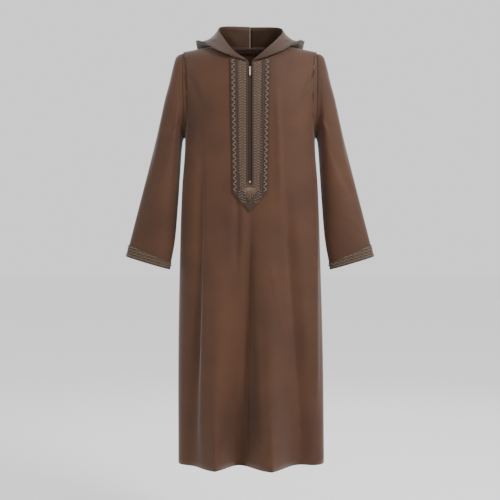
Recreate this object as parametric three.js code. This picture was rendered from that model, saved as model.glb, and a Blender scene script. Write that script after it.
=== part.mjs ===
// Hooded djellaba robe, filled out as it is when worn: a front and a back that meet
// at the side and shoulder seams, two set-in sleeves, a two-piece pointed hood worn
// down, an embroidered placket round a closed zip, and embroidered cuff bands.
// Millimetres, +Z up, the front faces -Y. The origin lies between the shoulders,
// level with the side of the neck. Every cloth piece is a thin wall.
import * as THREE from 'three';

// ---- driving sizes -------------------------------------------------------------
const HEM_Z = -1362;            // hem level
const WALL = 1.5;               // cloth with its turnings
const SEAM_GAP = 0.4;           // between two pieces at a seam
const SQUARENESS = 2.5;         // power of the rounded body section
const TIP = { x: 217, z: -26 }; // shoulder tip
const NECK = { x: 125, z: -8, frontZ: -80, backZ: 3 };
const UNDERARM_Z = -313;
const UNDERARM_X = 212;
const ARMHOLE_DEPTH = 70;       // half the armhole, front to back
const LEAN_Z = -200;            // above this the body leans in to the shoulders
const NECK_RISE = 48;           // how far the neck dome passes the neck points
const SLIT = { half: 6, endZ: -462 };
const ARMHOLE_STEPS = 6;
const SHOULDER_STEPS = 3;
const NECK_STEPS = 5;
const SKIRT_ROWS = 12;
const YOKE_ROWS = 9;

// Half width, depth of the front and depth of the back at each level.
const BODY = [
  { z: -1362, half: 238, front: 86, back: 92, drift: 4 },
  { z: -1000, half: 236, front: 100, back: 106, drift: 2 },
  { z: -656, half: 228, front: 112, back: 116, drift: 0 },
  { z: -480, half: 222, front: 118, back: 124, drift: 0 },
  { z: -313, half: 212, front: 121, back: 130, drift: 0 },
  { z: -200, half: 224, front: 122, back: 132, drift: 0 },
  { z: -113, half: 237, front: 121, back: 131, drift: 0 },
  { z: 60, half: 254, front: 118, back: 128, drift: 0 },
];

// Folds of the skirt: centre line from top to hem, height at the hem (outward is
// positive) and half width at both ends.
const FRONT_FOLDS = [
  { topX: -107, topZ: -560, hemX: -116, height: 50, topWidth: 30, hemWidth: 40 },
  { topX: 0, topZ: -560, hemX: -42, height: -46, topWidth: 22, hemWidth: 38 },
  { topX: 52, topZ: -560, hemX: 60, height: 54, topWidth: 28, hemWidth: 42 },
  { topX: 122, topZ: -480, hemX: 150, height: -34, topWidth: 18, hemWidth: 42 },
  { topX: -150, topZ: -420, hemX: -190, height: -10, topWidth: 14, hemWidth: 24 },
];
const BACK_FOLDS = [
  { topX: -96, topZ: -620, hemX: -128, height: 42, topWidth: 30, hemWidth: 44 },
  { topX: -40, topZ: -500, hemX: -56, height: -34, topWidth: 24, hemWidth: 36 },
  { topX: 14, topZ: -560, hemX: 22, height: 44, topWidth: 30, hemWidth: 44 },
  { topX: 78, topZ: -520, hemX: 92, height: -36, topWidth: 22, hemWidth: 36 },
  { topX: 130, topZ: -600, hemX: 158, height: 24, topWidth: 20, hemWidth: 34 },
];

// Sleeve from armhole to cuff: outer edge, inner edge and half depth.
const SLEEVE = [
  { t: 0, outX: 217, outZ: -26, inX: 213, inZ: -313, depth: 70, forward: 0 },
  { t: 0.08, outX: 239, outZ: -60, inX: 219, inZ: -348, depth: 71, forward: 0 },
  { t: 0.2, outX: 259, outZ: -124, inX: 225, inZ: -402, depth: 72, forward: 2 },
  { t: 0.5, outX: 308, outZ: -316, inX: 232, inZ: -524, depth: 66, forward: 8 },
  { t: 0.8, outX: 365, outZ: -538, inX: 241, inZ: -650, depth: 50, forward: 16 },
  { t: 1, outX: 404, outZ: -692, inX: 257, inZ: -736, depth: 42, forward: 20 },
];
const SLEEVE_ROWS = 16;
const SLEEVE_GAP = 0.9;         // sleeve head clear of the armhole edge
const CUFF_BAND = 40;           // height of the embroidered cuff band

// Hood from the front end (u 0) round to the centre seam (u 1): how far its lining
// side drops down the back, the swell of its side, and the free edge.
const HOOD = [
  { u: 0, drop: 0, lowX: 6, swellX: 8, swellY: -106, swellZ: -76 },
  { u: 0.25, drop: 0, lowX: 80, swellX: 84, swellY: -95, swellZ: -50 },
  { u: 0.5, drop: 0, lowX: 150, swellX: 180, swellY: 14, swellZ: 13 },
  { u: 0.75, drop: 150, lowX: 118, swellX: 142, swellY: 158, swellZ: -70 },
  { u: 1, drop: 310, lowX: 0, swellX: 0, swellY: 190, swellZ: -150 },
];
const HOOD_EDGE = {
  right: [
    { u: 0, x: 12, y: -105, z: -72 }, { u: 0.25, x: 54, y: -90, z: -41 },
    { u: 0.5, x: 90, y: -20, z: 22 }, { u: 0.7, x: 105, y: 50, z: 70 },
    { u: 1, x: 0, y: 122, z: 89 },
  ],
  left: [
    { u: 0, x: 12, y: -105, z: -72 }, { u: 0.25, x: 50, y: -92, z: -38 },
    { u: 0.5, x: 96, y: -20, z: 20 }, { u: 0.7, x: 108, y: 50, z: 66 },
    { u: 1, x: 0, y: 122, z: 88 },
  ],
};
const HOOD_ROWS = 16;

// Placket, measured from the front's centre line.
const PLACKET = { topHalf: 62, lowHalf: 54, shoulderZ: -492, tipZ: -551, gap: 0.9, thick: 1 };
const BRAID = { width: 15, thick: 0.9 };
const CORD = { inset: 19, width: 4, thick: 1.1 };
const EDGE_CORD = { inner: 7.2, outer: 9.4, thick: 1.2 };
const ZIP = { chainHalf: 2.7, tapeHalf: 16, topZ: -104, endZ: -456, tapeEndZ: -474 };
const PULL = { width: 5.2, length: 26, thick: 1.2, eyeHalf: 1.4, eyeLow: -6, bar: 1, pivotOut: 1.9 };

// ---- colours -------------------------------------------------------------------
const cloth = (color, roughness = 0.8) =>
  new THREE.MeshStandardMaterial({ color, roughness, metalness: 0 });
const COLORS = { robe: 0x64422b, hood: 0x5d402b, stitch: 0x4f3c2f, braid: 0x473224 };
const METAL = new THREE.MeshStandardMaterial({ color: 0xb8a59a, roughness: 0.35, metalness: 0.9 });

// ---- small helpers -------------------------------------------------------------
const lerp = THREE.MathUtils.lerp;
const clamp = THREE.MathUtils.clamp;
const smooth = (t) => THREE.MathUtils.smoothstep(t, 0, 1);
const vec = (x, y, z) => new THREE.Vector3(x, y, z);

/** Value of a named column of a table, smoothly between its rows. */
function column(table, key, at, name) {
  const last = table.length - 1;
  if (at <= table[0][key]) return table[0][name];
  if (at >= table[last][key]) return table[last][name];
  const i = table.findIndex((row) => row[key] > at) - 1;
  const [a, b] = [table[i], table[i + 1]];
  const slope = (j) => {
    const [p, q] = [table[Math.max(j - 1, 0)], table[Math.min(j + 1, last)]];
    return (q[name] - p[name]) / (q[key] - p[key]);
  };
  const span = b[key] - a[key];
  const t = (at - a[key]) / span;
  const [t2, t3] = [t * t, t * t * t];
  return (2 * t3 - 3 * t2 + 1) * a[name] + (t3 - 2 * t2 + t) * span * slope(i)
    + (3 * t2 - 2 * t3) * b[name] + (t3 - t2) * span * slope(i + 1);
}

// ---- the form of the body ------------------------------------------------------
/** Height of the shoulder line, and of the dome inside the neck, at a width. */
function shoulderLine(x) {
  const w = Math.abs(x);
  const slope = (NECK.z - TIP.z) / (TIP.x - NECK.x);
  const line = TIP.z + slope * (TIP.x - w);
  if (w >= NECK.x) return line;
  return NECK.z + NECK_RISE * (1 - (w / NECK.x) ** 2);
}

/** Depth that the folds add at a place of the front or the back. */
function foldDepth(folds, x, z) {
  let sum = 0;
  for (const fold of folds) {
    const t = clamp((fold.topZ - z) / (fold.topZ - HEM_Z), 0, 1);
    const away = (x - lerp(fold.topX, fold.hemX, t)) / lerp(fold.topWidth, fold.hemWidth, t);
    sum += fold.height * t ** 1.3 * Math.exp(-away * away);
  }
  return sum;
}

/** How much of its full depth the body has where it leans in to the shoulders. */
function lean(x, z) {
  const t = clamp((z - LEAN_Z) / (shoulderLine(x) - LEAN_Z), 0, 1);
  return Math.sqrt(1 - t * t);
}

/** Place on the outside of the front (face -1) or back (face 1) at a share of width. */
function bodyPoint(face, share, z) {
  const half = column(BODY, 'z', z, 'half');
  const depth = column(BODY, 'z', z, face < 0 ? 'front' : 'back');
  const x = half * share;
  const round = Math.max(0, 1 - Math.abs(share) ** SQUARENESS) ** (1 / SQUARENESS);
  const folds = foldDepth(face < 0 ? FRONT_FOLDS : BACK_FOLDS, x, z);
  const out = depth * round * lean(x, z) + folds * Math.min(1, round * 1.6);
  return vec(x + column(BODY, 'z', z, 'drift'), face * (out + SEAM_GAP / 2), z);
}

/** Place at a true width x, and the outward direction there. */
function bodyAt(face, x, z) {
  const half = column(BODY, 'z', z, 'half');
  return bodyPoint(face, x / half, z);
}
function bodyNormal(face, x, z) {
  const step = 2;
  const across = bodyAt(face, x + step, z).sub(bodyAt(face, x - step, z));
  const up = bodyAt(face, x, z + step).sub(bodyAt(face, x, z - step));
  return across.cross(up).multiplyScalar(-face).normalize();
}
const liftedBody = (face, x, z, lift) =>
  bodyAt(face, x, z).addScaledVector(bodyNormal(face, x, z), lift);

/** Armhole edge at s, 0 under the arm to 1 at the shoulder tip. */
function armholePoint(face, side, s) {
  const z = lerp(UNDERARM_Z, TIP.z, (1 - Math.cos(Math.PI * s)) / 2);
  const y = s === 1 ? 0 : ARMHOLE_DEPTH * Math.sin(Math.PI * s);
  const x = lerp(UNDERARM_X, TIP.x, (z - UNDERARM_Z) / (TIP.z - UNDERARM_Z));
  return vec(side * x, face * (y + SEAM_GAP / 2), z);
}

/** Share of the half width where the body meets the armhole edge at s. */
function armholeShare(face, s) {
  const { y, z } = armholePoint(face, 1, s);
  const half = column(BODY, 'z', z, 'half');
  if (s === 1) return TIP.x / half;
  const depth = column(BODY, 'z', z, face < 0 ? 'front' : 'back');
  const ratio = Math.min(1, Math.abs(y) / (depth * lean(TIP.x, z)));
  const share = (1 - ratio ** SQUARENESS) ** (1 / SQUARENESS);
  return lerp(share, TIP.x / half, s ** 6) - 0.01;
}

/** Neckline of the front or back at a width. */
function neckZ(face, x) {
  const w = Math.abs(x) / NECK.x;
  if (face < 0) return lerp(NECK.frontZ, NECK.z, w ** 2.2);
  return lerp(NECK.backZ, NECK.z, w ** 2);
}

/** Top edge of a panel for column i of one side, from the side seam to the middle. */
function topEdge(face, side, i) {
  if (i <= ARMHOLE_STEPS) return armholePoint(face, side, i / ARMHOLE_STEPS);
  const j = i - ARMHOLE_STEPS;
  if (j <= SHOULDER_STEPS) {
    const x = lerp(TIP.x, NECK.x, j / SHOULDER_STEPS);
    return vec(side * x, face * SEAM_GAP / 2, shoulderLine(x));
  }
  const k = j - SHOULDER_STEPS;
  const x = k > NECK_STEPS ? 0 : lerp(NECK.x, SLIT.half, k / NECK_STEPS);
  return bodyAt(face, side * x, neckZ(face, x));
}

const HALF_COLUMNS = ARMHOLE_STEPS + SHOULDER_STEPS + NECK_STEPS + 1;

/** Share of the half width that column i takes in the skirt. */
function skirtShare(i, z) {
  if (i === HALF_COLUMNS) return 0;
  const slit = SLIT.half / column(BODY, 'z', z, 'half');
  const turn = (1 - i / (HALF_COLUMNS - 1)) * Math.PI / 2;
  return slit + (1 - slit) * Math.sin(turn) ** (2 / SQUARENESS * 1.15);
}

/** Rows of a front or back panel, hem first, from its right side to its left. */
function panelRows(face) {
  const rows = [];
  for (let r = 0; r <= SKIRT_ROWS + YOKE_ROWS; r += 1) {
    const row = [];
    for (let c = -HALF_COLUMNS; c <= HALF_COLUMNS; c += 1) {
      const side = c < 0 ? -1 : 1;
      const i = HALF_COLUMNS - Math.abs(c);
      row.push(panelPoint(face, side, i, r));
    }
    rows.push(row);
  }
  return rows;
}
function panelPoint(face, side, i, r) {
  if (r <= SKIRT_ROWS) {
    const z = lerp(HEM_Z, SLIT.endZ, r / SKIRT_ROWS);
    return bodyPoint(face, side * skirtShare(i, z), z);
  }
  const t = (r - SKIRT_ROWS) / YOKE_ROWS;
  const top = topEdge(face, side, i);
  if (t === 1) return top;
  const z = lerp(SLIT.endZ, top.z, Math.sin(t * Math.PI / 2));
  const half = column(BODY, 'z', z, 'half');
  const topShare = i < ARMHOLE_STEPS ? side * armholeShare(face, i / ARMHOLE_STEPS)
    : top.x / column(BODY, 'z', top.z, 'half');
  const share = lerp(side * skirtShare(i, SLIT.endZ), topShare, smooth(t));
  if (i >= HALF_COLUMNS - 1) return bodyAt(face, side * (i === HALF_COLUMNS ? 0 : SLIT.half), z);
  if (i === 0) return vec(side * half, face * SEAM_GAP / 2, z);
  return bodyPoint(face, share, z);
}

// ---- cloth as a closed wall ----------------------------------------------------
/** Directions out of a grid of points, from its neighbours. */
function gridNormals(rows, wrap, sign) {
  const last = rows[0].length;
  return rows.map((row, r) => row.map((point, c) => {
    const left = wrap ? row[(c - 1 + last) % last] : row[Math.max(c - 1, 0)];
    const right = wrap ? row[(c + 1) % last] : row[Math.min(c + 1, last - 1)];
    const below = rows[Math.max(r - 1, 0)][c];
    const above = rows[Math.min(r + 1, rows.length - 1)][c];
    const across = right.clone().sub(left);
    return across.cross(above.clone().sub(below)).multiplyScalar(sign).normalize();
  }));
}

/** Closed wall on a grid of outer points. `keep` leaves cells out, `fix` turns normals. */
function clothWall(rows, { thick = WALL, wrap = false, sign = 1, keep, fix } = {}) {
  const normals = gridNormals(rows, wrap, sign);
  const width = rows[0].length;
  const cells = wrap ? width : width - 1;
  const points = [];
  for (let r = 0; r < rows.length; r += 1) {
    for (let c = 0; c < width; c += 1) {
      const normal = normals[r][c];
      if (fix) fix(normal, r, c);
      normal.normalize();
      points.push(rows[r][c], rows[r][c].clone().addScaledVector(normal, -thick));
    }
  }
  const index = [];
  const at = (r, c, inner) => 2 * (r * width + (c % width)) + inner;
  const quad = (a, b, c, d) => {
    if (sign > 0) index.push(a, b, c, a, c, d);
    else index.push(a, c, b, a, d, c);
  };
  const has = (r, c) => {
    if (r < 0 || r >= rows.length - 1) return false;
    if (!wrap && (c < 0 || c >= cells)) return false;
    return keep ? keep(r, (c + cells) % cells) : true;
  };
  for (let r = 0; r < rows.length - 1; r += 1) {
    for (let c = 0; c < cells; c += 1) {
      if (!has(r, c)) continue;
      quad(at(r, c, 0), at(r, c + 1, 0), at(r + 1, c + 1, 0), at(r + 1, c, 0));
      quad(at(r, c, 1), at(r + 1, c, 1), at(r + 1, c + 1, 1), at(r, c + 1, 1));
      if (!has(r - 1, c)) quad(at(r, c, 0), at(r, c, 1), at(r, c + 1, 1), at(r, c + 1, 0));
      if (!has(r + 1, c)) {
        quad(at(r + 1, c, 0), at(r + 1, c + 1, 0), at(r + 1, c + 1, 1), at(r + 1, c, 1));
      }
      if (!has(r, c - 1)) quad(at(r, c, 0), at(r + 1, c, 0), at(r + 1, c, 1), at(r, c, 1));
      if (!has(r, c + 1)) {
        quad(at(r, c + 1, 0), at(r, c + 1, 1), at(r + 1, c + 1, 1), at(r + 1, c + 1, 0));
      }
    }
  }
  return usedGeometry(points, index);
}

/** Geometry with only the points that its triangles use. */
function usedGeometry(points, index) {
  const renumber = new Map();
  const positions = [];
  const used = index.map((i) => {
    if (!renumber.has(i)) {
      renumber.set(i, renumber.size);
      positions.push(points[i].x, points[i].y, points[i].z);
    }
    return renumber.get(i);
  });
  const geometry = new THREE.BufferGeometry();
  geometry.setAttribute('position', new THREE.Float32BufferAttribute(positions, 3));
  geometry.setIndex(used);
  geometry.computeVertexNormals();
  return geometry;
}

const robe = new THREE.Group();
function addPiece(name, geometry, material, parent = robe) {
  const mesh = new THREE.Mesh(geometry, material);
  mesh.name = name;
  parent.add(mesh);
  return mesh;
}

// ---- front and back ------------------------------------------------------------
const SLIT_CELLS = [HALF_COLUMNS - 1, HALF_COLUMNS];
function panelGeometry(face) {
  const lastRow = SKIRT_ROWS + YOKE_ROWS;
  const lastColumn = 2 * HALF_COLUMNS;
  const keep = (r, c) => face > 0 || r < SKIRT_ROWS || !SLIT_CELLS.includes(c);
  const fix = (normal, r, c) => {
    const i = HALF_COLUMNS - Math.abs(c - HALF_COLUMNS);
    const onSide = c === 0 || c === lastColumn;
    if (onSide) normal.set(c === 0 ? -1 : 1, 0, 0);
    const onShoulder = i >= ARMHOLE_STEPS && i <= ARMHOLE_STEPS + SHOULDER_STEPS;
    if (r === lastRow && onShoulder) normal.set(normal.x * 0.4, 0, 1);
  };
  return clothWall(panelRows(face), { sign: -face, keep, fix });
}
addPiece('front_panel', panelGeometry(-1), cloth(COLORS.robe));
addPiece('back_panel', panelGeometry(1), cloth(COLORS.robe));

// ---- sleeves and cuff bands ----------------------------------------------------
/** Ring of a sleeve at t, 0 at the armhole to 1 at the cuff, as points round it. */
function sleeveRing(side, t) {
  const at = (name) => column(SLEEVE, 't', t, name);
  const outer = vec(side * at('outX'), 0, at('outZ'));
  const inner = vec(side * at('inX'), 0, at('inZ'));
  const blend = smooth(t / 0.25);
  const points = [];
  const steps = 2 * ARMHOLE_STEPS;
  for (let j = 0; j < steps; j += 1) {
    const face = j <= ARMHOLE_STEPS ? -1 : 1;
    const s = j <= ARMHOLE_STEPS ? j / ARMHOLE_STEPS : (steps - j) / ARMHOLE_STEPS;
    const share = (1 - Math.cos(Math.PI * s)) / 2;
    const point = inner.clone().lerp(outer, share);
    point.y = face * at('depth') * Math.sin(Math.PI * s) - at('forward');
    const hole = armholePoint(face, side, s);
    if (s === 0 || s === 1) hole.y = 0;
    hole.x += side * SLEEVE_GAP;
    points.push(hole.lerp(point, blend));
    if (t > 0 && t < 0.25) points[j].x = lerp(armShift(side, s, t), point.x, blend);
  }
  return points;
}
/** Width of the sleeve head where it still follows the armhole. */
function armShift(side, s, t) {
  const share = (1 - Math.cos(Math.PI * s)) / 2;
  const out = lerp(column(SLEEVE, 't', t, 'inX') - SLEEVE[0].inX,
    column(SLEEVE, 't', t, 'outX') - SLEEVE[0].outX, share);
  return armholePoint(-1, side, s).x + side * (SLEEVE_GAP + out);
}

function sleeveGeometry(side) {
  const rows = [];
  for (let r = 0; r <= SLEEVE_ROWS; r += 1) {
    const t = r / SLEEVE_ROWS;
    rows.push(sleeveRing(side, t * (0.6 + 0.4 * t)));
  }
  const fix = (normal, r) => {
    if (r === 0) normal.x = 0;
  };
  return clothWall(rows, { wrap: true, sign: -side, fix });
}

/** Band of a height above the cuff edge, lying on the sleeve. */
function cuffBandGeometry(side, height) {
  const edge = column(SLEEVE, 't', 1, 'outZ') - column(SLEEVE, 't', 0.9, 'outZ');
  const start = 1 - height / Math.abs(edge * 10.3);
  const sleeve = [0, 0.5, 1].map((k) => sleeveRing(side, lerp(start, 1, k)));
  const normals = gridNormals(sleeve, true, -side);
  const lifted = sleeve.map((row, r) => row.map((point, c) =>
    point.clone().addScaledVector(normals[r][c], SEAM_GAP + 1.5)));
  return clothWall(lifted, { wrap: true, sign: -side, thick: 1.2 });
}
for (const [name, side] of [['left', 1], ['right', -1]]) {
  addPiece(`sleeve_${name}`, sleeveGeometry(side), cloth(COLORS.robe));
  addPiece(`cuff_band_${name}`, cuffBandGeometry(side, CUFF_BAND), cloth(COLORS.stitch));
}

// ---- hood ----------------------------------------------------------------------
const hoodSteps = Array.from({ length: HOOD_ROWS + 1 }, (_, r) => (r / HOOD_ROWS) ** 1.35);

/** Rib of the hood at u, from the neckline seam to the free edge. */
function hoodRib(side, u, edge) {
  const at = (name) => column(HOOD, 'u', u, name);
  const back = u >= 0.5;
  const x = back ? lerp(NECK.x, 0, (u - 0.5) * 2) : lerp(SLIT.half, NECK.x, u * 2);
  const face = back ? 1 : -1;
  const seam = bodyAt(face, side * x, neckZ(face, x));
  seam.z += SEAM_GAP + 0.4 + 5 * Math.sin(Math.PI * u);
  const knots = [seam];
  if (back && u > 0.5) {
    for (const k of [0.03, 0.09, 0.18, 0.35, 0.65, 1]) {
      const z = neckZ(face, x) - at('drop') * k;
      const width = lerp(x, at('lowX'), k);
      knots.push(liftedBody(1, side * width, z, 7 + 5 * k));
    }
    const low = knots[knots.length - 1];
    knots.push(vec(low.x * 1.04, low.y + 22, low.z - 5));
  }
  knots.push(vec(side * at('swellX'), at('swellY'), at('swellZ')));
  const rim = (name) => column(edge, 'u', u, name);
  knots.push(vec(side * rim('x'), rim('y'), rim('z')));
  for (const knot of knots) knot.x = side * Math.max(Math.abs(knot.x), SEAM_GAP / 2);
  const curve = new THREE.CatmullRomCurve3(knots, false, 'centripetal');
  return hoodSteps.map((t) => curve.getPointAt(t));
}

function hoodGeometry(side, edge) {
  const count = 2 * NECK_STEPS;
  const ribs = [];
  for (let j = 0; j <= count; j += 1) ribs.push(hoodRib(side, j / count, edge));
  const rows = ribs[0].map((_, r) => ribs.map((rib) => rib[r]));
  const fix = (normal, r, c) => {
    if (c === count) normal.x = 0;
  };
  return clothWall(rows, { sign: side, fix });
}
addPiece('hood_left', hoodGeometry(1, HOOD_EDGE.left), cloth(COLORS.hood));
addPiece('hood_right', hoodGeometry(-1, HOOD_EDGE.right), cloth(COLORS.hood));

/** Strip over a body form: rows of places, each with a width and a level, lifted. */
function stripGeometry(face, places, lift, thick, keep) {
  const rows = places.map((row) => row.map(([x, z]) => liftedBody(face, x, z, lift + thick)));
  return clothWall(rows, { sign: -face, thick, keep });
}

// Tape over the back neck seam, on the inside.
const TAPE_PLACES = [-14, -1.5].map((rise) => {
  const row = [];
  for (let k = -6; k <= 6; k += 1) row.push([k * 12, neckZ(1, k * 12) + rise]);
  return row;
});
addPiece('neck_tape', stripGeometry(1, TAPE_PLACES, -WALL - 4.5, 1), cloth(COLORS.braid));

// ---- placket -------------------------------------------------------------------
/** Half width of the placket, and the level of its pointed end, with an inset. */
function placketHalf(z, inset) {
  const t = clamp((z - PLACKET.shoulderZ) / (NECK.frontZ - PLACKET.shoulderZ), 0, 1);
  return lerp(PLACKET.lowHalf, PLACKET.topHalf, t) - inset;
}
const placketTop = (x) => neckZ(-1, x) - 3;

function placketGeometry() {
  const shares = [-1, -0.7, -0.4, null, null, 0.4, 0.7, 1];
  const slitHalf = SLIT.half + 0.6;
  const place = (k, share) => {
    const side = k < 4 ? -1 : 1;
    const bottom = (x) => lerp(PLACKET.tipZ, PLACKET.shoulderZ, Math.abs(x) / PLACKET.lowHalf);
    return (level) => {
      const half = placketHalf(level < 0 ? PLACKET.shoulderZ : lerp(SLIT.endZ, NECK.frontZ, level), 0);
      const x = share === null ? side * slitHalf : share * half;
      if (level < 0) return [x, lerp(SLIT.endZ - 8, bottom(x), -level)];
      return [x, lerp(SLIT.endZ - 8, placketTop(x), level)];
    };
  };
  const levels = [-1, -0.5];
  for (let k = 0; k <= 14; k += 1) levels.push(k / 14);
  const rows = levels.map((level) => shares.map((share, k) => place(k, share)(level)));
  const keep = (r, c) => r < 2 || c !== 3;
  return stripGeometry(-1, rows, PLACKET.gap, PLACKET.thick, keep);
}
addPiece('placket', placketGeometry(), cloth(COLORS.stitch));

/** Band that runs down one side of the placket, round its point and up the other. */
function roundPlacket(inset, width, lift, thick) {
  const rows = [];
  const drop = 1.15;
  const add = (side, z, level) => {
    const row = [inset, inset + width].map((depth) => {
      const x = side * placketHalf(z, depth);
      return [x, Math.min(z + level * depth * drop, placketTop(x))];
    });
    rows.push(row);
  };
  const steps = 14;
  const top = placketTop(PLACKET.topHalf - inset - width);
  for (let k = 0; k <= steps; k += 1) add(-1, lerp(top, PLACKET.shoulderZ, k / steps), k / steps * 0.5);
  for (const k of [0.5, 1]) {
    const point = [inset, inset + width].map((depth) => {
      const x = -lerp(placketHalf(PLACKET.shoulderZ, depth), 0, k);
      return [x, lerp(PLACKET.shoulderZ, PLACKET.tipZ, k) + depth * drop * lerp(0.5, 1.2, k)];
    });
    rows.push(point);
  }
  const left = rows.slice(0, -1).reverse().map((row) => row.map(([x, z]) => [-x, z]));
  const all = rows.concat(left);
  const lifted = all.map((row) => row.map(([x, z]) => liftedBody(-1, x, z, lift + thick)));
  return clothWall(lifted, { sign: -1, thick });
}
const ON_PLACKET = PLACKET.gap + PLACKET.thick + 0.5;
addPiece('placket_braid', roundPlacket(0, BRAID.width, ON_PLACKET, BRAID.thick), cloth(COLORS.braid));
addPiece('placket_cord', roundPlacket(CORD.inset, CORD.width, ON_PLACKET, CORD.thick),
  cloth(COLORS.braid));

/** Upright strip beside the zip, between two widths and two levels. */
function uprightStrip(fromX, toX, topOf, endZ, lift, thick) {
  const rows = [];
  const steps = 16;
  for (let k = 0; k <= steps; k += 1) {
    rows.push([fromX, toX].map((x) => [x, lerp(endZ, topOf(x), k / steps)]));
  }
  return stripGeometry(-1, rows, lift, thick);
}
for (const [name, side] of [['left', 1], ['right', -1]]) {
  const [from, to] = [EDGE_CORD.inner, EDGE_CORD.outer].map((x) => side * x).sort((a, b) => a - b);
  addPiece(`zip_cord_${name}`,
    uprightStrip(from, to, placketTop, SLIT.endZ, ON_PLACKET, EDGE_CORD.thick), cloth(COLORS.braid));
  const [tapeFrom, tapeTo] = [ZIP.chainHalf + 0.4, ZIP.tapeHalf].map((x) => side * x)
    .sort((a, b) => a - b);
  addPiece(`zip_tape_${name}`,
    uprightStrip(tapeFrom, tapeTo, placketTop, ZIP.tapeEndZ, -WALL - 1.6, 0.8), cloth(COLORS.braid));
}

// ---- zip -----------------------------------------------------------------------
const CHAIN = { thick: 2.4, lift: -3.4 };
addPiece('zip_chain', uprightStrip(-ZIP.chainHalf, ZIP.chainHalf, () => ZIP.topZ, ZIP.endZ,
  CHAIN.lift, CHAIN.thick), cloth(COLORS.braid, 0.6));
addPiece('zip_stop', uprightStrip(-ZIP.chainHalf, ZIP.chainHalf, () => ZIP.endZ - 0.6,
  ZIP.endZ - 5, CHAIN.lift, CHAIN.thick), METAL);

/** Flat outline in the side view (out, up), pushed through a width along X. */
function sidePlate(outline, width, holes = []) {
  const shape = new THREE.Shape(outline.map(([out, up]) => new THREE.Vector2(out, up)));
  for (const hole of holes) shape.holes.push(new THREE.Path(hole.map(([o, u]) => new THREE.Vector2(o, u))));
  const geometry = new THREE.ExtrudeGeometry(shape, { depth: width, bevelEnabled: false });
  geometry.translate(0, 0, -width / 2);
  // outline x runs out of the cloth (-Y), outline y runs up, the width runs along X
  geometry.applyMatrix4(new THREE.Matrix4().makeBasis(vec(0, -1, 0), vec(0, 0, 1), vec(-1, 0, 0)));
  return geometry;
}

const sliderAt = liftedBody(-1, 0, ZIP.topZ + 2, 0);
const sliderOut = bodyNormal(-1, 0, ZIP.topZ + 2);
const sliderGroup = new THREE.Group();
sliderGroup.position.copy(sliderAt);
sliderGroup.rotation.x = -Math.atan2(sliderOut.z, -sliderOut.y);
robe.add(sliderGroup);

// Slider in side view: a back plate and a front plate joined above the chain, with
// a bridge on the front that the pull's eye hangs on.
const SLIDER = { half: 2.8, down: 9, up: 5, plate: 1.2, gap: 0.35 };
const chainBack = CHAIN.lift - SLIDER.gap;
const chainFront = CHAIN.lift + CHAIN.thick + SLIDER.gap;
const plateOut = chainFront + SLIDER.plate;
const BRIDGE = { low: -5, high: 3, rise: 5.4, inside: 3.6 };
addPiece('zip_slider', sidePlate([
  [chainBack - SLIDER.plate, -SLIDER.down], [chainBack, -SLIDER.down], [chainBack, 0],
  [chainFront, 0], [chainFront, -SLIDER.down], [plateOut, -SLIDER.down],
  [plateOut, SLIDER.up], [chainBack - SLIDER.plate, SLIDER.up],
], 2 * SLIDER.half), METAL, sliderGroup);
addPiece('zip_bridge', sidePlate([
  [plateOut + 0.3, BRIDGE.low], [plateOut + BRIDGE.rise, BRIDGE.low],
  [plateOut + BRIDGE.rise, BRIDGE.high], [plateOut + 0.3, BRIDGE.high],
  [plateOut + 0.3, BRIDGE.high - 1.2], [plateOut + BRIDGE.inside, BRIDGE.high - 1.2],
  [plateOut + BRIDGE.inside, BRIDGE.low + 1.2], [plateOut + 0.3, BRIDGE.low + 1.2],
], 1.6), METAL, sliderGroup);

// Pull tab: a flat plate with an eye round the bridge's bar, hanging down the zip.
const pullShape = new THREE.Shape();
pullShape.moveTo(-PULL.width / 2, -PULL.length + PULL.width / 2);
pullShape.lineTo(-PULL.width / 2, PULL.bar);
pullShape.lineTo(PULL.width / 2, PULL.bar);
pullShape.lineTo(PULL.width / 2, -PULL.length + PULL.width / 2);
pullShape.absarc(0, -PULL.length + PULL.width / 2, PULL.width / 2, 0, -Math.PI, true);
const eye = new THREE.Path();
eye.moveTo(-PULL.eyeHalf, PULL.eyeLow);
eye.lineTo(PULL.eyeHalf, PULL.eyeLow);
eye.lineTo(PULL.eyeHalf, -PULL.bar);
eye.lineTo(-PULL.eyeHalf, -PULL.bar);
eye.closePath();
pullShape.holes.push(eye);
const pullPlate = new THREE.ExtrudeGeometry(pullShape,
  { depth: PULL.thick, bevelEnabled: false, curveSegments: 6 });
pullPlate.rotateX(Math.PI / 2);
const PIVOT_UP = -0.5;
addPiece('zip_pull', pullPlate, METAL, sliderGroup)
  .position.set(0, PULL.thick / 2 - plateOut - PULL.pivotOut, PIVOT_UP);

export default robe;
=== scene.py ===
"""Looks of a hooded djellaba robe: brown twill shells, embroidery, braid and zip."""
import logging
import math
from dataclasses import dataclass, field
from enum import Enum

import bmesh
import bpy
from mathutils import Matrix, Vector
from mathutils.bvhtree import BVHTree


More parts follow.
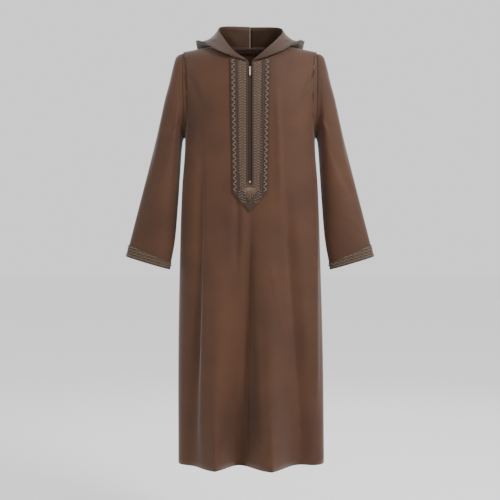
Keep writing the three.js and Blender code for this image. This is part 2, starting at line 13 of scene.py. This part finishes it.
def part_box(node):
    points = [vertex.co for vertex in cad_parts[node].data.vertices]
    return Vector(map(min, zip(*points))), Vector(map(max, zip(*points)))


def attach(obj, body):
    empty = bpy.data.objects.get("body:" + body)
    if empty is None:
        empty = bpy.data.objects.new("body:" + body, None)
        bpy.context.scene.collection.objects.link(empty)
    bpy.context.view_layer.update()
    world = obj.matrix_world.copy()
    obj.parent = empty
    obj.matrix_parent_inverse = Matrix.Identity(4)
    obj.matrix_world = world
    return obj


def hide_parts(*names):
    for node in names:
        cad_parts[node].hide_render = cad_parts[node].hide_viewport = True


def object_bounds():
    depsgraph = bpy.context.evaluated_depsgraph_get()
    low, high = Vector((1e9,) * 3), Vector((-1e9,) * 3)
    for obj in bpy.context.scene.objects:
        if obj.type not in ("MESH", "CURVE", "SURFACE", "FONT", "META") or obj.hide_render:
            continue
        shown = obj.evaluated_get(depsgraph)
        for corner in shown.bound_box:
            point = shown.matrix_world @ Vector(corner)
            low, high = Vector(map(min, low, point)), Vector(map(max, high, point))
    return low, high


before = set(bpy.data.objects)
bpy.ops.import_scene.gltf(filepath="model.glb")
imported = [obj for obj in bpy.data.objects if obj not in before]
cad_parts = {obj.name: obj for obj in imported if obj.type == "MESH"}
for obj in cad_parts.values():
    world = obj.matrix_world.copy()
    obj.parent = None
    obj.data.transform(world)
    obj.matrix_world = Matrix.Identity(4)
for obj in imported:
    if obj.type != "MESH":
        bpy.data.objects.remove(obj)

logging.basicConfig(level=logging.INFO, format="%(message)s")
LOG = logging.getLogger("robe")
MM = 0.001
SEAM_FADE = 0.03
CREASE_DEPTH = 1.5
CAMERA_DISTANCE = 2.7
CAMERA_HEIGHT = -0.672
FRAME_HEIGHT = 1.632
SENSOR_MM = 36


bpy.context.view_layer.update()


def linear(code: str) -> tuple:
    """Turn a colour to linear.

    Args:
        code: sRGB hex value such as "6b4529".
    Returns:
        Linear red, green, blue and 1.
    """
    channels = [int(code[i:i + 2], 16) / 255 for i in (0, 2, 4)]
    turned = [c / 12.92 if c <= 0.04045 else ((c + 0.055) / 1.055) ** 2.4 for c in channels]
    return (*turned, 1.0)


def node(tree: bpy.types.NodeTree, kind: str, links: dict | None = None, **settings) -> bpy.types.Node:
    """Add a shader node.

    Args:
        tree: the material's node tree.
        kind: the node's type name.
        links: input name or number to an output socket or a plain value.
        settings: properties of the node.
    Returns:
        The new node.
    """
    made = tree.nodes.new(kind)
    for name, value in settings.items():
        setattr(made, name, value)
    for key, value in (links or {}).items():
        socket = made.inputs[key]
        if isinstance(value, bpy.types.NodeSocket):
            tree.links.new(value, socket)
        else:
            socket.default_value = value
    return made


class Weave(Enum):
    """How a cloth surface was made."""

    TWILL = "twill"
    STITCHED = "stitched"
    CORDED = "corded"


@dataclass(frozen=True)
class ClothFinish:
    """Woven or stitched thread: diffuse, with a soft sheen at grazing angles."""

    name: str
    light: str
    dark: str
    weave: Weave
    pitch_mm: float
    bump: float
    roughness: float = 0.72
    sheen: float = 0.25

    def build(self) -> bpy.types.Material:
        """Returns: the material."""
        made = bpy.data.materials.new(self.name)
        made.use_nodes = True
        tree = made.node_tree
        shader = tree.nodes["Principled BSDF"]
        place = node(tree, "ShaderNodeTexCoord").outputs["Object"]
        # broad, faint change of colour as of dyed cloth, about 120 mm across
        broad = node(tree, "ShaderNodeTexNoise", {"Vector": place, "Scale": 8.0, "Detail": 3.0})
        fine = node(tree, "ShaderNodeTexNoise", {"Vector": place, "Scale": 900.0, "Detail": 2.0})
        mix = node(tree, "ShaderNodeMath", {0: broad.outputs["Fac"], 1: 0.3}, operation="MULTIPLY")
        both = node(tree, "ShaderNodeMath", {0: fine.outputs["Fac"], 1: 0.3, 2: mix.outputs[0]},
                    operation="MULTIPLY_ADD")
        thread = self.threads(tree, place)
        shade = node(tree, "ShaderNodeMath", {0: thread, 1: 0.3 if self.weave is Weave.TWILL else 0.75,
                                              2: both.outputs[0]}, operation="MULTIPLY_ADD")
        ramp = node(tree, "ShaderNodeValToRGB", {"Fac": shade.outputs[0]})
        ramp.color_ramp.elements[0].position = 0.3
        ramp.color_ramp.elements[0].color = linear(self.dark)
        ramp.color_ramp.elements[1].position = 0.95
        ramp.color_ramp.elements[1].color = linear(self.light)
        tree.links.new(ramp.outputs["Color"], shader.inputs["Base Color"])
        bump = node(tree, "ShaderNodeBump", {"Height": thread, "Strength": self.bump,
                                             "Distance": 0.0004})
        tree.links.new(bump.outputs["Normal"], shader.inputs["Normal"])
        shader.inputs["Roughness"].default_value = self.roughness
        shader.inputs["Sheen Weight"].default_value = self.sheen
        shader.inputs["Sheen Roughness"].default_value = 0.4
        shader.inputs["Specular IOR Level"].default_value = 0.3
        return made

    def threads(self, tree: bpy.types.NodeTree, place: bpy.types.NodeSocket) -> bpy.types.NodeSocket:
        """Args: tree: the tree; place: coordinates. Returns: thread height, 0 to 1."""
        turn = {Weave.TWILL: 0.96, Weave.STITCHED: 0.6, Weave.CORDED: 0.8}[self.weave]
        turned = node(tree, "ShaderNodeMapping", {"Vector": place, "Rotation": (0.0, turn, 0.0)})
        scale = 0.314 / (self.pitch_mm * MM)
        first = node(tree, "ShaderNodeTexWave", {"Vector": turned.outputs[0], "Scale": scale,
                                                 "Distortion": 0.4}, bands_direction="X")
        if self.weave is Weave.TWILL:
            return first.outputs["Fac"]
        other = node(tree, "ShaderNodeMapping", {"Vector": place, "Rotation": (0.0, -turn, 0.0)})
        second = node(tree, "ShaderNodeTexWave", {"Vector": other.outputs[0], "Scale": scale},
                      bands_direction="X")
        both = node(tree, "ShaderNodeMath", {0: first.outputs["Fac"], 1: second.outputs["Fac"]},
                    operation="MAXIMUM")
        return both.outputs[0]


@dataclass(frozen=True)
class MetalFinish:
    """Pale plated zinc: bright, with a fine brushed roughness."""

    name: str
    color: str

    def build(self) -> bpy.types.Material:
        """Returns: the material."""
        made = bpy.data.materials.new(self.name)
        made.use_nodes = True
        tree = made.node_tree
        shader = tree.nodes["Principled BSDF"]
        place = node(tree, "ShaderNodeTexCoord").outputs["Object"]
        grain = node(tree, "ShaderNodeTexNoise", {"Vector": place, "Scale": 1500.0})
        rough = node(tree, "ShaderNodeMapRange", {"Value": grain.outputs["Fac"], "To Min": 0.22,
                                                  "To Max": 0.42})
        tree.links.new(rough.outputs[0], shader.inputs["Roughness"])
        shader.inputs["Metallic"].default_value = 1.0
        shader.inputs["Base Color"].default_value = linear(self.color)
        return made


@dataclass
class Crease:
    """One soft trough or ridge of cloth, between two places seen from the front."""

    start: tuple
    end: tuple
    height: float
    width: float

    def at(self, x: float, z: float) -> float:
        """Args: x, z: a place in mm. Returns: the height there in mm."""
        ax, az = self.start
        dx, dz = self.end[0] - ax, self.end[1] - az
        along = ((x - ax) * dx + (z - az) * dz) / (dx * dx + dz * dz)
        if along < -0.25 or along > 1.25:
            return 0.0
        away = abs((x - ax) * dz - (z - az) * dx) / math.hypot(dx, dz) / self.width
        fade = math.exp(-((max(abs(along - 0.5) - 0.25, 0.0)) / 0.22) ** 2)
        return self.height * math.exp(-away * away) * fade


FRONT_CREASES = [
    Crease((-38, -500), (-44, -720), -5, 9), Crease((62, -700), (104, -930), 2.2, 5),
    Crease((120, -520), (176, -1240), -9, 15), Crease((-156, -380), (-176, -1150), -8, 13),
    Crease((-140, -820), (-152, -1330), 5, 12), Crease((206, -560), (208, -1200), 5, 12),
    Crease((84, -180), (94, -520), 3, 9), Crease((0, -570), (-8, -1300), -8, 13),
    Crease((160, -1220), (190, -1290), -4, 6), Crease((-196, -110), (-150, -230), -3, 10),
    Crease((196, -120), (160, -260), -4, 11), Crease((22, -900), (34, -1340), 4, 12),
]
BACK_CREASES = [
    Crease((-120, -420), (-150, -1200), -7, 14), Crease((-10, -460), (-30, -1290), -6, 13),
    Crease((60, -560), (96, -1240), 5, 12), Crease((150, -430), (184, -1180), -7, 15),
    Crease((-80, -700), (-60, -1000), 3, 8),
]
SLEEVE_CREASES = [
    Crease((250, -330), (330, -500), -5, 11), Crease((236, -180), (262, -330), -4, 10),
    Crease((290, -560), (352, -600), 3.5, 9), Crease((282, -620), (340, -660), -3, 8),
    Crease((255, -120), (300, -420), 4, 14), Crease((228, -250), (268, -290), -4, 8),
]
HOOD_CREASES = [
    Crease((40, 20), (80, 60), -4, 9), Crease((30, -120), (110, -30), 5, 13),
    Crease((0, -40), (60, -200), -4, 14), Crease((110, -10), (150, 10), -4, 9),
]


@dataclass
class ClothShell:
    """A thin shell of cloth on the form of its solid, with listed creases."""

    solid: str
    slot: str
    flat: tuple
    area: float
    creases: list = field(default_factory=list)
    mirrored: bool = False
    levels: int = 2

    def crease(self, place: Vector) -> float:
        """Args: place: a point in metres. Returns: outward move in metres."""
        x = place.x / MM * (-1 if self.mirrored else 1)
        return sum(c.at(x, place.z / MM) for c in self.creases) * CREASE_DEPTH * MM

    def build(self, finish: bpy.types.Material) -> bpy.types.Object:
        """Args: finish: the cloth. Returns: the finished piece."""
        mesh = bpy.data.meshes.new(f"{self.solid}_cloth")
        bm = bmesh.new()
        bm.from_mesh(bpy.data.objects[self.solid].data)
        bmesh.ops.remove_doubles(bm, verts=bm.verts, dist=2e-6)
        bmesh.ops.join_triangles(bm, faces=bm.faces, angle_face_threshold=1.2,
                                 angle_shape_threshold=3.1, cmp_seam=False, cmp_sharp=False)
        self.hold_edges(bm)
        bm.to_mesh(mesh)
        bm.free()
        piece = bpy.data.objects.new(f"{self.solid}_cloth", mesh)
        bpy.context.scene.collection.objects.link(piece)
        self.soften(piece)
        piece.data.materials.clear()
        piece.data.materials.append(finish)
        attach(piece, "robe")
        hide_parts(self.solid)
        LOG.info("%s: %d faces", piece.name, len(piece.data.polygons))
        return piece

    def hold_edges(self, bm: bmesh.types.BMesh) -> None:
        """Args: bm: the shell, whose cut edges are kept where they are."""
        held = bm.edges.layers.float.new("crease_edge")
        for edge in bm.edges:
            if edge.is_manifold and edge.calc_face_angle(0.0) > math.radians(60):
                edge[held] = 1.0

    def soften(self, piece: bpy.types.Object) -> None:
        """Args: piece: the shell, which is rounded and then creased."""
        smooth = piece.modifiers.new("round", "SUBSURF")
        smooth.levels = smooth.render_levels = self.levels
        bpy.context.view_layer.update()
        result = piece.evaluated_get(bpy.context.evaluated_depsgraph_get())
        rounded = bpy.data.meshes.new_from_object(result)
        piece.modifiers.clear()
        piece.data = rounded
        moves = []
        for vert in rounded.vertices:
            flat = Vector((vert.co.x, vert.co.y, 0)).normalized()
            # creases die away at the side and shoulder seams, so those stay closed
            near_seam = min(1.0, abs(vert.co.y) / SEAM_FADE) if "panel" in self.solid else 1.0
            moves.append(flat * self.crease(vert.co) * near_seam)
        for vert, move in zip(rounded.vertices, moves):
            vert.co += move
        rounded.shade_smooth()


@dataclass
class Embroidery:
    """Raised stitches that lie on the placket and cuffs: border loops, chevrons, a fan and cuff zigzags.
    """

    bead_pitch: float = 0.0175
    chevron_pitch: float = 0.0085
    stitch_radius: float = 0.0011
    border_radius: float = 0.0016
    # columns of chevrons: inner and outer distance from the middle, and fall, in mm
    chevrons: tuple = ((13, 21, 3.5), (21, 29, -3.5), (29, 36, 3.0))
    border_inner: float = 49.0
    border_outer: float = 59.0
    border_taper: float = 8.0
    fan_rise: float = 0.066
    fan_length: float = 0.032
    fan_hub: float = 0.004
    # rows of cuff zigzags: place above the middle of the band, and height
    cuff_rows: tuple = ((0.015, 0.003), (0.006, 0.006), (-0.004, 0.006), (-0.0125, 0.003))
    cuff_step: float = 0.0075
    cuff_slope: float = 0.3

    def surface(self, names: list) -> BVHTree:
        """Args: names: nodes. Returns: their surface, for places found from the front."""
        bm = bmesh.new()
        for name in names:
            bm.from_mesh(bpy.data.objects[name].data)
        tree = BVHTree.FromBMesh(bm)
        bm.free()
        return tree

    def on(self, tree: BVHTree, x: float, z: float, lift: float) -> Vector | None:
        """Args: tree: surface; x, z: place; lift: height. Returns: the point or None."""
        hit = tree.ray_cast(Vector((x, -0.5, z)), Vector((0, 1, 0)), 0.48)
        return hit[0] + Vector((0, -lift, 0)) if hit[0] is not None else None

    def stitch(self, bm: bmesh.types.BMesh, a: Vector, b: Vector, radius: float) -> None:
        """Args: bm: mesh; a, b: ends; radius: thread radius."""
        length = (b - a).length
        turn = (b - a).to_track_quat("Z", "Y").to_matrix().to_4x4()
        turn.translation = (a + b) / 2
        made = bmesh.ops.create_cone(bm, cap_ends=True, segments=5, radius1=radius,
                                     radius2=radius * 0.7, depth=length)
        bmesh.ops.transform(bm, matrix=turn, verts=made["verts"])

    def build(self, name: str, finish: bpy.types.Material, routes: list) -> bpy.types.Object:
        """Join many small stitches into one piece.

        Args:
            name: the piece's name.
            finish: thread.
            routes: pairs of ends with a radius.
        Returns:
            The piece.
        """
        bm = bmesh.new()
        for start, end, radius in routes:
            if start is not None and end is not None:
                self.stitch(bm, start, end, radius)
        mesh = bpy.data.meshes.new(name)
        bm.to_mesh(mesh)
        bm.free()
        mesh.shade_smooth()
        mesh.materials.append(finish)
        piece = bpy.data.objects.new(name, mesh)
        bpy.context.scene.collection.objects.link(piece)
        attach(piece, "robe")
        LOG.info("%s: %d stitches", name, len(routes))
        return piece

    def placket_routes(self) -> list:
        """Returns: the stitches of the placket's bands, fan and border."""
        tree = self.surface(["placket", "placket_braid", "placket_cord"])
        low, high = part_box("placket")
        routes = []
        rows = int((high.z - low.z) / self.chevron_pitch)
        for row in range(rows):
            z = high.z - 0.004 - row * self.chevron_pitch
            for side in (-1, 1):
                for x0, x1, rise in self.chevrons:
                    a = self.on(tree, side * x0 * MM, z, 0.0003)
                    b = self.on(tree, side * x1 * MM, z - rise * MM, 0.0003)
                    routes.append((a, b, self.stitch_radius))
        for row in range(int((high.z - low.z) / self.bead_pitch)):
            z = high.z - 0.006 - row * self.bead_pitch
            taper = self.border_taper * row * self.bead_pitch / (high.z - low.z)
            for side in (-1, 1):
                outer = (self.border_outer - taper) * MM
                inner = (self.border_inner - taper) * MM
                a = self.on(tree, side * inner, z, 0.0006)
                b = self.on(tree, side * outer, z - 0.0075, 0.0006)
                c = self.on(tree, side * inner, z - 0.015, 0.0006)
                routes += [(a, b, self.border_radius), (b, c, self.border_radius)]
        for spoke in range(-5, 6):
            angle = math.radians(spoke * 15)
            hub = low.z + self.fan_rise
            start = self.on(tree, self.fan_hub * math.sin(angle), hub, 0.0003)
            foot = hub - self.fan_length * math.cos(angle)
            end = self.on(tree, self.fan_length * math.sin(angle), foot, 0.0003)
            routes.append((start, end, self.stitch_radius))
        return routes

    def cuff_routes(self, side: int) -> list:
        """Args: side: 1 or -1. Returns: zigzag rows on the front and back of a cuff."""
        name = "cuff_band_left" if side > 0 else "cuff_band_right"
        tree = self.surface([name])
        low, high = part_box(name)
        routes = []
        slope = self.cuff_slope * side
        centre_x = (low.x + high.x) / 2
        centre_z = (low.z + high.z) / 2
        for face in (-1, 1):
            for drop, tall in self.cuff_rows:
                for k in range(-11, 11):
                    ends = []
                    for j in (k, k + 1):
                        x = centre_x + j * self.cuff_step
                        lift = tall / 2 if j % 2 else -tall / 2
                        z = centre_z + (x - centre_x) * slope + drop + lift
                        hit = tree.ray_cast(Vector((x, face * 0.5, z)), Vector((0, -face, 0)), 0.52)
                        found = hit[0]
                        if found is not None:
                            found = found + Vector((0, face * 0.0003, 0))
                        ends.append(found)
                    routes.append((ends[0], ends[1], self.stitch_radius))
        return routes


def add_studio() -> None:
    """Pale floor, soft lights, plain world and the level camera."""
    low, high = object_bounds()
    middle = (low.z + high.z) / 2
    bm = bmesh.new()
    bmesh.ops.create_grid(bm, x_segments=2, y_segments=2, size=30.0)
    bmesh.ops.translate(bm, verts=bm.verts, vec=(0, 0, low.z - 0.35))
    mesh = bpy.data.meshes.new("floor")
    bm.to_mesh(mesh)
    bm.free()
    pale = bpy.data.materials.new("pale_floor")
    pale.use_nodes = True
    shader = pale.node_tree.nodes["Principled BSDF"]
    shader.inputs["Base Color"].default_value = linear("fafafa")
    shader.inputs["Roughness"].default_value = 1.0
    mesh.materials.append(pale)
    floor = bpy.data.objects.new("floor", mesh)
    bpy.context.scene.collection.objects.link(floor)
    world = bpy.data.worlds.new("studio")
    world.use_nodes = True
    world.node_tree.nodes["Background"].inputs["Color"].default_value = (1, 1, 1, 1)
    world.node_tree.nodes["Background"].inputs["Strength"].default_value = 1.15
    bpy.context.scene.world = world
    for place, size, power in (((2.1, -1.9, 1.4), 0.8, 120), ((-2.2, -1.6, 0.6), 2.0, 8),
                               ((0.5, 2.6, 1.0), 2.0, 25)):
        data = bpy.data.lights.new("softbox", "AREA")
        data.size, data.energy = size, power
        lamp = bpy.data.objects.new("softbox", data)
        lamp.location = place
        lamp.rotation_euler = (Vector((0, 0, middle)) - Vector(place)).to_track_quat("-Z", "Y").to_euler()
        bpy.context.scene.collection.objects.link(lamp)
    camera = bpy.data.cameras.new("camera")
    camera.lens = SENSOR_MM / FRAME_HEIGHT * CAMERA_DISTANCE
    seat = bpy.data.objects.new("camera", camera)
    seat.location = (0.0, -CAMERA_DISTANCE, CAMERA_HEIGHT)
    seat.rotation_euler = (math.pi / 2, 0, 0)
    bpy.context.scene.collection.objects.link(seat)
    bpy.context.scene.camera = seat


def dress(names: list, finish: bpy.types.Material) -> None:
    """Args: names: CAD nodes that stay; finish: their material."""
    for name in names:
        target = bpy.data.objects[name]
        if not target.material_slots:
            target.data.materials.append(finish)
        for slot in target.material_slots:
            slot.material = finish
        LOG.info("%s: dressed", name)


def main() -> None:
    """Build every piece of the robe and report it."""
    add_studio()
    # fine twill with a satin face: bright where it turns to the light
    twill = ClothFinish("robe_twill", "684125", "2c170b", Weave.TWILL, 1.6, 0.15).build()
    # the hood is the robe's own twill; its darker colours are painted shade for the hood's shaded inside
    # and rolled edge
    hood = ClothFinish("hood_twill_painted_shade", "5e4029", "28180d", Weave.TWILL, 1.6, 0.15).build()
    thread = ClothFinish("embroidery_ground", "463528", "1f1510", Weave.STITCHED, 3.2, 0.6).build()
    raised = ClothFinish("raised_thread", "75604f", "43342a", Weave.CORDED, 1.2, 0.4).build()
    # near-black cord and zip colour: partly the cords' own dark brown, partly painted shade for the
    # shadow along the raised cords and the zip's opening
    braid = ClothFinish("dark_braid_and_painted_shade", "33231a", "120a06", Weave.CORDED, 2.4, 0.7).build()
    metal = MetalFinish("pale_plated_zinc", "c4b2a6").build()
    shells = [
        ClothShell("front_panel", "robe_cloth", (0.62, 1.4), 0.75, FRONT_CREASES),
        ClothShell("back_panel", "robe_cloth", (0.62, 1.4), 0.78, BACK_CREASES),
        ClothShell("sleeve_left", "robe_cloth", (0.5, 0.7), 0.21, SLEEVE_CREASES),
        ClothShell("sleeve_right", "robe_cloth", (0.5, 0.7), 0.21, SLEEVE_CREASES, True),
        ClothShell("hood_left", "robe_cloth", (0.36, 0.45), 0.112, HOOD_CREASES),
        ClothShell("hood_right", "robe_cloth", (0.36, 0.45), 0.112, HOOD_CREASES, True),
        ClothShell("cuff_band_left", "embroidery", (0.34, 0.04), 0.0116),
        ClothShell("cuff_band_right", "embroidery", (0.34, 0.04), 0.0116),
    ]
    for shell in shells:
        shell.build(thread if "cuff" in shell.solid else hood if "hood" in shell.solid else twill)
    dress(["placket"], thread)
    dress(["placket_braid", "placket_cord", "zip_cord_left", "zip_cord_right", "neck_tape",
           "zip_tape_left", "zip_tape_right", "zip_chain"], braid)
    dress(["zip_stop", "zip_slider", "zip_bridge", "zip_pull"], metal)
    work = Embroidery()
    work.build("placket_stitches", raised, work.placket_routes())
    work.build("cuff_stitches_left", raised, work.cuff_routes(1))
    work.build("cuff_stitches_right", raised, work.cuff_routes(-1))


if __name__ == "__main__":
    main()
